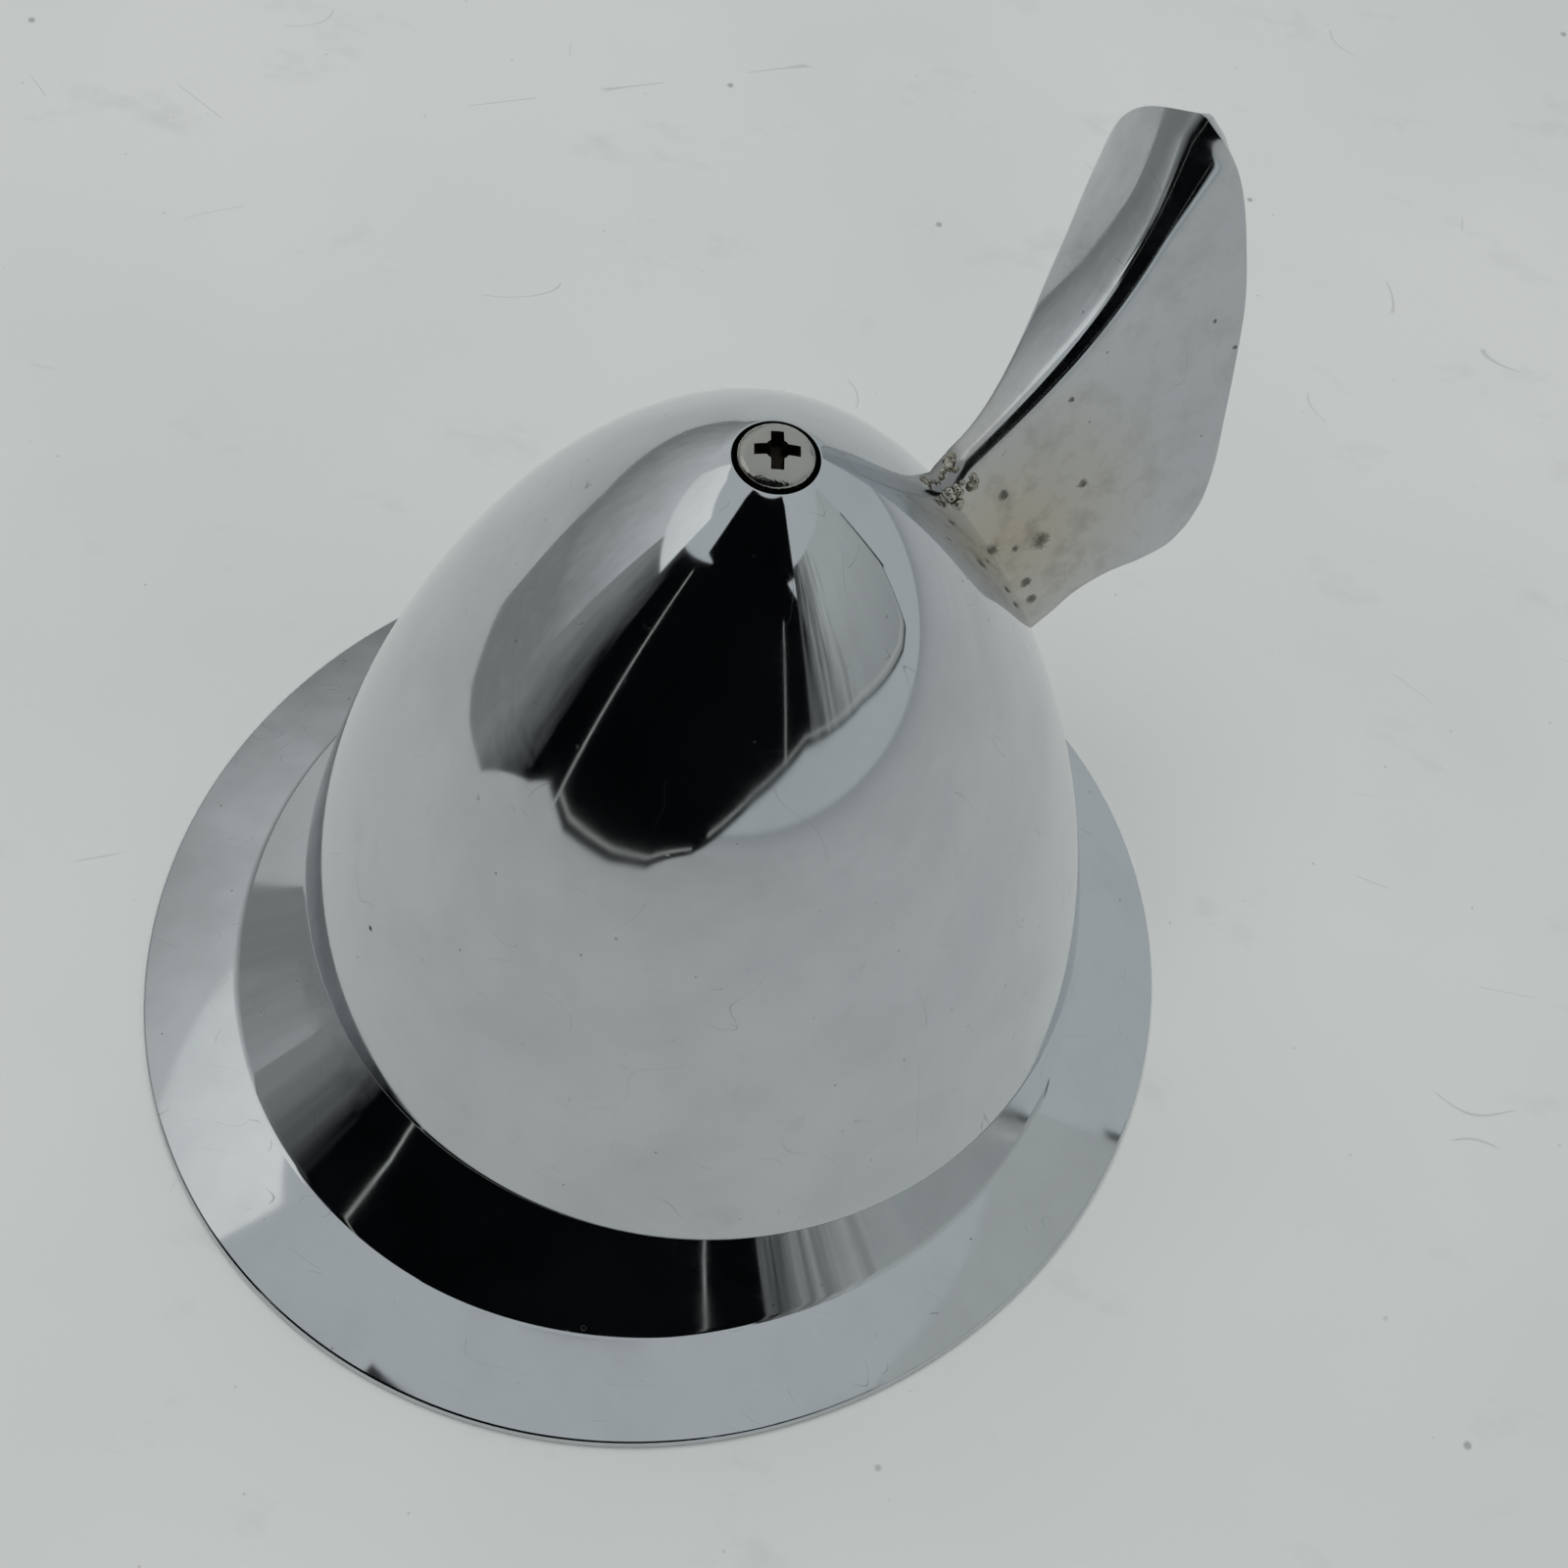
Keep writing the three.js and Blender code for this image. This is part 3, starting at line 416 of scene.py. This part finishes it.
def apex_screw(steel, painted_slot_shade):
    low = box_mm("apex_screw")[0].z
    edge = APEX_HEIGHT - SCREW_HEAD_SIDE
    crown = [(SCREW_HEAD_RADIUS * math.cos(t), APEX_HEIGHT + SCREW_RISE * math.sin(t))
             for t in (math.radians(a) for a in range(6, 90, 6))]
    profile = [(0, low), (SCREW_SHANK_RADIUS, low),
               (SCREW_SHANK_RADIUS, edge - (SCREW_HEAD_RADIUS - SCREW_SHANK_RADIUS)), (SCREW_HEAD_RADIUS, edge),
               (SCREW_HEAD_RADIUS, APEX_HEIGHT - 0.05), *crown, (0, APEX_HEIGHT + SCREW_RISE)]
    blank = finished("apex_screw_blank", spun(profile, 96, closed=False), None, steel)
    top = APEX_HEIGHT + SCREW_RISE
    cutters = []
    for turn in DRIVER_TURNS:
        bm = bmesh.new()
        bmesh.ops.create_cube(bm, size=1)
        bmesh.ops.scale(bm, vec=DRIVER_CUT, verts=bm.verts)
        for vert in bm.verts:
            vert.co.x *= 1 + math.copysign(0.35, vert.co.z)
            vert.co.y *= 1 + math.copysign(0.15, vert.co.z)
        turned = Matrix.Rotation(math.radians(turn), 3, "Z")
        bmesh.ops.rotate(bm, cent=(0, 0, 0), matrix=turned, verts=bm.verts)
        bmesh.ops.translate(bm, vec=(0, 0, top), verts=bm.verts)
        cutters.append(finished(f"driver_cut_{turn}", bm, None, steel))
    bm = bmesh.new()
    bmesh.ops.create_cone(bm, cap_ends=True, segments=24, radius1=0.35, radius2=1.25, depth=2.2)
    bmesh.ops.translate(bm, vec=(0, 0, top), verts=bm.verts)
    cutters.append(finished("driver_cut_middle", bm, None, steel))
    for cutter in cutters:
        cut = blank.modifiers.new("cut", "BOOLEAN")
        cut.operation = "DIFFERENCE"
        cut.object = cutter
        cut.solver = "EXACT"
    bpy.context.view_layer.update()
    mesh = bpy.data.meshes.new_from_object(blank.evaluated_get(bpy.context.evaluated_depsgraph_get()))
    bm = bmesh.new()
    bm.from_mesh(mesh)
    for helper in [blank, *cutters]:
        bpy.data.objects.remove(helper)
    bmesh.ops.remove_doubles(bm, verts=bm.verts, dist=1e-7)
    bmesh.ops.scale(bm, vec=(1 / MM, 1 / MM, 1 / MM), verts=bm.verts)
    for face in bm.faces:
        middle = face.calc_center_median()
        reach = math.hypot(middle.x, middle.y)
        crown_height = APEX_HEIGHT + SCREW_RISE * math.sqrt(max(1 - (reach / SCREW_HEAD_RADIUS) ** 2, 0))
        # faces down in the driver slot take the second material, whose dark colour is painted shade in the
        # recess
        face.material_index = int(reach < 1.75 and top - 1.2 < middle.z < crown_height - 0.06)
    bmesh.ops.translate(bm, vec=GONG_AXIS, verts=bm.verts)
    screw = finished("apex_screw_oval_head", bm, "gong", steel, ["apex_screw"], sharp=32)
    screw.data.materials.append(painted_slot_shade)
    return screw


# ---- thumb lever -----------------------------------------------------------------------------------------

def spline_at(points, along):
    """height of a Catmull-Rom line through the points, at a distance along it"""
    for i in range(len(points) - 1):
        (x0, y0), (x1, y1) = points[i], points[i + 1]
        if along <= x1 or i == len(points) - 2:
            before = points[max(i - 1, 0)]
            after = points[min(i + 2, len(points) - 1)]
            t = min(max((along - x0) / (x1 - x0), 0), 1)
            m0 = (y1 - before[1]) / (x1 - before[0]) * (x1 - x0)
            m1 = (after[1] - y0) / (after[0] - x0) * (x1 - x0)
            return ((2 * t ** 3 - 3 * t ** 2 + 1) * y0 + (t ** 3 - 2 * t ** 2 + t) * m0
                    + (3 * t ** 2 - 2 * t ** 3) * y1 + (t ** 3 - t ** 2) * m1)
    return points[-1][1]


def lever_axes():
    rise, heading, lean = (math.radians(a) for a in (LEVER_RISE, LEVER_HEADING, LEVER_LEAN))
    along = Vector((math.cos(rise) * math.cos(heading), math.cos(rise) * math.sin(heading), math.sin(rise)))
    facing = heading - math.acos(-math.tan(rise) * math.tan(lean))
    face = Vector((math.cos(lean) * math.cos(facing), math.cos(lean) * math.sin(facing), math.sin(lean)))
    return along, along.cross(face), face


LEVER_ALONG, LEVER_DOWN, LEVER_FACE = lever_axes()
LEVER_START = GONG_AXIS + polar(gong_radius(APEX_HEIGHT - LEVER_DROP) + LEVER_STANDOFF, LEVER_AZIMUTH).to_3d()
LEVER_START.z = APEX_HEIGHT - LEVER_DROP


def eased(value):
    """0 to 1, slow at both ends"""
    value = min(max(value, 0), 1)
    return value * value * (3 - 2 * value)


def lever_point(along, side):
    """a point of the lever's outer face, from its place on the flattened sheet: the broad wing lies flat, the
    fold opens out from root to tip, and the narrow wing bends round past the square"""
    run = max(along, 0) / LEVER_LENGTH
    fold_radius = 0.95 + 1.1 * run ** 1.3 + 1.1 * eased((run - 0.7) / 0.3)
    half_fold = fold_radius * math.pi / 4
    share = min(max(side / half_fold, -1), 1)
    fold = math.radians(45 + (45 if share > 0 else 45 + NARROW_TURN) * share)
    past = math.radians(NARROW_TURN)
    curl = past + max(-half_fold - side, 0) / NARROW_CURL
    bow = LEVER_DRIFT[0] + LEVER_DRIFT[1] * run + LEVER_BOW * math.sin(math.pi * run)
    lip = 0.5 * eased((run - 0.92) / 0.08)
    across = fold_radius * (1 - math.cos(fold)) + max(side - half_fold, 0)
    across += NARROW_CURL * (math.cos(past) - math.cos(curl))
    out = fold_radius * (math.sin(fold) - 1) - NARROW_CURL * (math.sin(curl) - math.sin(past)) + lip
    return LEVER_START + LEVER_ALONG * along + LEVER_DOWN * (bow + across) + LEVER_FACE * out


def lever_side(along, share):
    narrow = spline_at(NARROW_EDGE, along)
    broad = spline_at(BROAD_EDGE, along)
    return narrow + (broad - narrow) * share


def lever_root(share, depth=0.5):
    """how far along the rib the sheet meets the gong, at a share of its width"""
    low, high = -LEVER_ROOT, 6.0
    for _ in range(40):
        middle = (low + high) / 2
        point = lever_point(middle, lever_side(middle, share)) - GONG_AXIS
        inside = math.hypot(point.x, point.y) < gong_radius(point.z) - depth
        low, high = (middle, high) if inside else (low, middle)
    return low


def thumb_lever(chrome):
    bm = bmesh.new()
    bmesh.ops.create_grid(bm, x_segments=60, y_segments=90, size=1)
    roots = {}
    for vert in bm.verts:
        share = (vert.co.x + 1) / 2
        key = round(share, 5)
        if key not in roots:
            roots[key] = lever_root(share)
        travel = math.sin((vert.co.y + 1) / 2 * math.pi / 2)
        along = roots[key] + (LEVER_LENGTH - roots[key]) * travel
        vert.co = lever_point(along, lever_side(along, share))
    bmesh.ops.remove_doubles(bm, verts=bm.verts, dist=1e-4)
    bmesh.ops.recalc_face_normals(bm, faces=bm.faces)
    middle = min(bm.faces, key=lambda face: (face.calc_center_median() - lever_point(8, 8)).length)
    if middle.normal.dot(LEVER_FACE) < 0:
        bmesh.ops.reverse_faces(bm, faces=bm.faces)
    lever = finished("thumb_lever_leaf", bm, "gong", chrome, ["thumb_lever"])
    wall = lever.modifiers.new("wall", "SOLIDIFY")
    wall.thickness = LEVER_THICKNESS * MM
    wall.offset = -1
    wall.use_even_offset = True
    edge = lever.modifiers.new("edge", "BEVEL")
    edge.width = LEVER_EDGE_ROUND * MM
    edge.segments = 3
    edge.limit_method = "ANGLE"
    edge.angle_limit = math.radians(50)
    return lever


def braze_bead(alloy):
    """a bead laid behind the lever's root, and a cluster of lumps where the rib's fold comes down"""
    bm = bmesh.new()
    shares = [0.02 + 0.96 * i / 48 for i in range(49)]
    loop = []
    for i, share in enumerate(shares):
        along = lever_root(share, 0.0)
        here = lever_point(along, lever_side(along, share))
        ahead = lever_root(min(share + 0.02, 1), 0.0)
        way = (lever_point(ahead, lever_side(ahead, min(share + 0.02, 1))) - here).normalized()
        behind = LEVER_ALONG.cross(way).normalized()
        lump = noise.noise(here * 0.9)
        radius = 0.95 * (0.4 + 0.6 * math.sin(math.pi * share)) * (1 + 0.45 * lump)
        turn = way.to_track_quat("Z", "Y").to_matrix()
        centre = here + behind * (LEVER_THICKNESS + 0.2)
        corners = [centre + turn @ polar(radius, 360 * k / 14).to_3d() for k in range(14)]
        fresh = [bm.verts.new(corner) for corner in corners]
        for k in range(len(loop)):
            bm.faces.new((loop[k - 1], loop[k], fresh[k], fresh[k - 1]))
        if i in (0, len(shares) - 1):
            bm.faces.new(fresh)
        loop = fresh
    for i in range(20):
        share = 0.03 + 0.14 * noise.random()
        along = lever_root(share, 0.0) + 2.2 * noise.random() ** 1.5
        here = lever_point(along, lever_side(along, share))
        lump = bmesh.ops.create_icosphere(bm, subdivisions=3, radius=0.2 + 0.24 * noise.random())["verts"]
        for vert in lump:
            vert.co += here + vert.co * 0.3 * noise.noise((vert.co + here) * 2.3)
    bmesh.ops.recalc_face_normals(bm, faces=bm.faces)
    return finished("lever_braze_bead", bm, "gong", alloy, ["lever_braze"], sharp=80)


# ---- studio ----------------------------------------------------------------------------------------------

def studio_floor():
    material, tree, shader = new_material("pale_table_laminate")
    here = place(tree)
    cloud = noise_of(tree, here, 60, detail=3.0)
    crumbs = specks(tree, here, 8, 0.45, 0.3)
    grit = specks(tree, place(tree, at=(0.021, 0.008, 0)), 3, 0.16, 0.3)
    rubs = hairlines(tree, place(tree, (1, 1.9, 1), (0, 0, 0.8)), 30, 0.0022, 13, 0.66)
    fainter = math_node(tree, "MULTIPLY", math_node(tree, "MAXIMUM", grit, rubs), 0.6)
    dirt = math_node(tree, "MAXIMUM", crumbs, fainter)
    smudge = noise_of(tree, place(tree, (1, 1.7, 1), (0, 0, 0.6)), 16, detail=4.0, roughness=0.65)
    dirt = math_node(tree, "MAXIMUM", dirt, ramp(tree, smudge, 0.6, 0.85, 0.0, 0.35))
    colour = mix_colour(tree, ramp(tree, cloud, 0.3, 0.7), linear("e0e3e1"), linear("d8dcda"))
    colour = mix_colour(tree, math_node(tree, "MULTIPLY", dirt, 0.8), colour, linear("9a9e9c"))
    tree.links.new(colour, shader.inputs["Base Color"])
    shader.inputs["Roughness"].default_value = 0.55
    bm = bmesh.new()
    bmesh.ops.create_grid(bm, x_segments=1, y_segments=1, size=2500)
    floor = finished("studio_floor", bm, None, material)


def reflected_only(name, bm, material):
    card = finished(name, bm, None, material)
    card.visible_camera = False
    card.visible_diffuse = False
    card.visible_shadow = False
    card.visible_transmission = False


def glow(name, low, high, low_height=0, high_height=300, mottle_mm=60, mottle=0.15, stretch=(1, 1, 1),
         beside=None, start=0, end=1, streaks=0.0):
    """a lit card: one tone below and another above, in a mottle; a third tone, beside, fades out between two
    azimuths in degrees"""
    material = bpy.data.materials.new(name)
    material.use_nodes = True
    tree = material.node_tree
    tree.nodes.clear()
    here = place(tree)
    height = add(tree, "ShaderNodeSeparateXYZ", {"Vector": here}).outputs["Z"]
    cloud = noise_of(tree, place(tree, stretch), mottle_mm, detail=4.0, roughness=0.6)
    wander = math_node(tree, "SUBTRACT", cloud, 0.5)
    share = math_node(tree, "ADD", ramp(tree, height, low_height * MM, high_height * MM),
                      math_node(tree, "MULTIPLY", wander, 2 * mottle))
    colour = mix_colour(tree, share, linear(low), linear(high))
    if beside:
        round_about = add(tree, "ShaderNodeTexGradient", {"Vector": here}, gradient_type="RADIAL").outputs[1]
        fade = ramp(tree, round_about, (start + 90) / 360, (end + 90) / 360)
        fade = math_node(tree, "ADD", fade, math_node(tree, "MULTIPLY", wander, 2 * streaks))
        colour = mix_colour(tree, fade, linear(beside), colour)
    light = add(tree, "ShaderNodeEmission", {"Color": colour})
    add(tree, "ShaderNodeOutputMaterial", {"Surface": light.outputs[0]})
    return material


# where the table ends, as the bell reflects it: (degrees from straight in front, distance, height)
TABLE_EDGE = [(-170, 900, -60), (-157, 385, 0), (-145, 350, 0), (-121, 465, 0), (-110, 278, 0),
              (-103, 177, 0), (-89, 150, 0), (-81, 149, 0), (-69, 159, 0), (-55, 261, 0), (-50, 342, 0),
              (-39, 278, 0), (-23, 318, 0), (-12, 390, 0), (0, 700, 0), (4, 800, 12), (18, 800, 98),
              (37, 800, 178), (64, 800, 162), (90, 800, 102), (97, 800, 105), (104, 800, 211)]
WALL_DISTANCE = 350


def table_edge(azimuth):
    for (a, near, low), (b, far, high) in zip(TABLE_EDGE, TABLE_EDGE[1:]):
        if a <= azimuth <= b:
            t = (azimuth - a) / (b - a)
            return near + (far - near) * t, low + (high - low) * t
    return TABLE_EDGE[-1][1:]


def wall_card(name, start, end, material, top, lift=0.0, width=None):
    """a curved card round the bell from the table's edge up to an elevation in degrees; a strip if it has
    a width"""
    bm = bmesh.new()
    bmesh.ops.create_grid(bm, x_segments=48, y_segments=2, size=1)
    for vert in bm.verts:
        azimuth = start + (end - start) * (vert.co.x + 1) / 2
        edge, low = table_edge(azimuth)
        reach = edge if vert.co.y < -0.5 or width else max(edge, WALL_DISTANCE)
        share = (vert.co.x + 1) / 2
        elevation = top[0] + (top[1] - top[0]) * share
        height = low + 1 + lift
        if vert.co.y > 0.5:
            height = height + width if width else reach * math.tan(math.radians(elevation))
        direction = polar(reach * (0.98 if width else 1), azimuth - 90)
        vert.co = Vector((direction.x, direction.y, height))
    reflected_only(name, bm, material)


def band_card(name, start, end, distance, low, high, material):
    """an upright card bent round the bell at one distance"""
    bm = bmesh.new()
    bmesh.ops.create_grid(bm, x_segments=24, y_segments=1, size=1)
    for vert in bm.verts:
        azimuth = start + (end - start) * (vert.co.x + 1) / 2
        direction = polar(distance, azimuth - 90)
        vert.co = Vector((direction.x, direction.y, high if vert.co.y > 0 else low))
    reflected_only(name, bm, material)


def studio():
    studio_floor()
    world = bpy.data.worlds.new("soft_studio")
    world.use_nodes = True
    background = world.node_tree.nodes["Background"]
    background.inputs["Color"].default_value = linear("f6f8f9")
    background.inputs["Strength"].default_value = 0.41
    bpy.context.scene.world = world
    lamp = bpy.data.lights.new("overhead_softbox", "AREA")
    lamp.shape = "DISK"
    lamp.size = 0.8
    lamp.energy = 7.2
    softbox = bpy.data.objects.new("overhead_softbox", lamp)
    softbox.location = (-0.12, 0.02, 1.4)
    softbox.rotation_euler = (Vector((0, 0, 0)) - softbox.location).to_track_quat("-Z", "Y").to_euler()
    softbox.visible_glossy = False
    bpy.context.scene.collection.objects.link(softbox)

    bm = bmesh.new()
    bmesh.ops.create_icosphere(bm, subdivisions=5, radius=3000)
    reflected_only("pale_tent", bm, glow("tent_cloth", "b9c0c2", "c0c5c6", 0, 2500, 900))
    black = glow("black_card", "030405", "050607", 0, 400)
    wall_card("card_front_left", -57, -30, black, (38, 44))
    wall_card("card_front", -30, 24, black, (46, 46))
    wall_card("card_front_right", 24, 40, black, (46, 36))
    shaded = glow("shaded_card", "030405", "060708", 0, 400, 26, 0.1, (1, 1, 0.3), "8a8e8e", -75, -56, 0.35)
    wall_card("card_left_dark", -78, -57, shaded, (34, 38))
    grey = glow("grey_card", "858989", "ccd0cf", 20, 200, 26, 0.25)
    wall_card("card_left", -165, -78, grey, (46, 40))
    streaked = glow("streaked_card", "9da2a1", "b6bbb9", 100, 500, 20, 0.2, (1, 1, 0.08), "050606", 36, 60, 0.9)
    wall_card("card_right_streaked", 40, 62, streaked, (42, 42))
    light_grey = glow("light_grey_card", "9da2a1", "b6bbb9", 100, 500, 90, 0.3, (1, 1, 0.2))
    wall_card("card_right", 62, 104, light_grey, (42, 38))
    trim = glow("bright_trim", "b4b8b4", "c0c4c0")
    wall_card("trim_low_left", -45, 0, trim, (0, 0), 9, 3)
    wall_card("trim_low_right", 4, 104, trim, (0, 0), 18, 6)
    band_card("trim_left", -45.3, -44.7, 272, 2, 230, trim)
    band_card("trim_right", 28.8, 29.2, 780, 160, 520, trim)
    shadow_line = glow("dark_edge", "2c2e2e", "3a3d3d")
    wall_card("edge_low_right", 40, 104, shadow_line, (0, 0), 0, 7)
    band_card("edge_right", 104, 105, 790, 200, 420, shadow_line)
    bright = glow("bright_window", "e4e8e6", "f6f8f6", 200, 330, 30, 0.5)
    band_card("bright_window", -106, -62, 340, 205, 330, bright)
    band_card("black_hood", -42, 40, 135, 166, 325, black)


def camera():
    """looks down on the bell from the front, the frame turned a little clockwise"""
    elevation, roll = math.radians(60.1), math.radians(13.37)
    target, distance = Vector((6.72, 11.13, 15)), 209.4
    back = Vector((0, -math.cos(elevation), math.sin(elevation)))
    level, upward = Vector((1, 0, 0)), Vector((0, math.sin(elevation), math.cos(elevation)))
    right = level * math.cos(roll) + upward * math.sin(roll)
    up = upward * math.cos(roll) - level * math.sin(roll)
    data = bpy.data.cameras.new("camera")
    data.lens = 58.5
    data.sensor_width = 36
    data.clip_start = 0.005
    view = bpy.data.objects.new("camera", data)
    turned = Matrix((right, up, back)).transposed()
    view.matrix_world = Matrix.Translation((target + back * distance) * MM) @ turned.to_4x4()
    bpy.context.scene.collection.objects.link(view)
    bpy.context.scene.camera = view
    bpy.context.scene.view_settings.view_transform = "Standard"


# ---- the bell --------------------------------------------------------------------------------------------

noise.seed_set(11)
chrome = chromium_plate("chromium_plate")
root_pits = [(tuple((LEVER_START + LEVER_ALONG * along + LEVER_DOWN * down) * MM), size)
             for along, down, size in ROOT_PITS]
stained_chrome = chromium_plate("chromium_plate_browned_by_brazing", "c2c5c8", 0.06,
                                tuple((LEVER_START + LEVER_DOWN * 8 - LEVER_ALONG * 4) * MM), 9, root_pits)
screw_steel = worked_metal("nickelled_screw_steel", "b4b3ad", "8d8c86", 0.15, 1.3, depth=0.16)
# dark rough metal for the driver slot: its colour is painted shade in the recess
painted_slot_shade = worked_metal("painted_shade_in_the_driver_slot", "3a362e", "26231e", 0.55, 0.3, depth=0.05)
zinc = worked_metal("bright_zinc_on_steel", "c3c7cc", "a7acb2", 0.3, 0.8)
turned_steel = worked_metal("turned_mild_steel", "a3a4a4", "858687", 0.32, 0.35, (0.4, 0.4, 3))
spring_wire = worked_metal("drawn_spring_wire", "84888b", "63676a", 0.28, 0.4)
brass = worked_metal("machined_brass", "d0ab62", "b08a45", 0.24, 0.5)

finish_of_slot = {"chrome": chrome, "zinc_steel": zinc, "plain_steel": turned_steel,
                  "spring_steel": spring_wire, "brass": brass}
for part in frame["record"]["subparts"]:
    node = frame["nodes"][part["node"]]
    finish = finish_of_slot.get(part["material_slot"], brass)
    node.data.materials.clear()
    node.data.materials.append(finish)

camera()
studio()
gong_shell(chrome)
base_dish(chrome)
thumb_lever(stained_chrome)
braze_bead(braze_alloy())
apex_screw(screw_steel, painted_slot_shade)

bpy.context.view_layer.update()
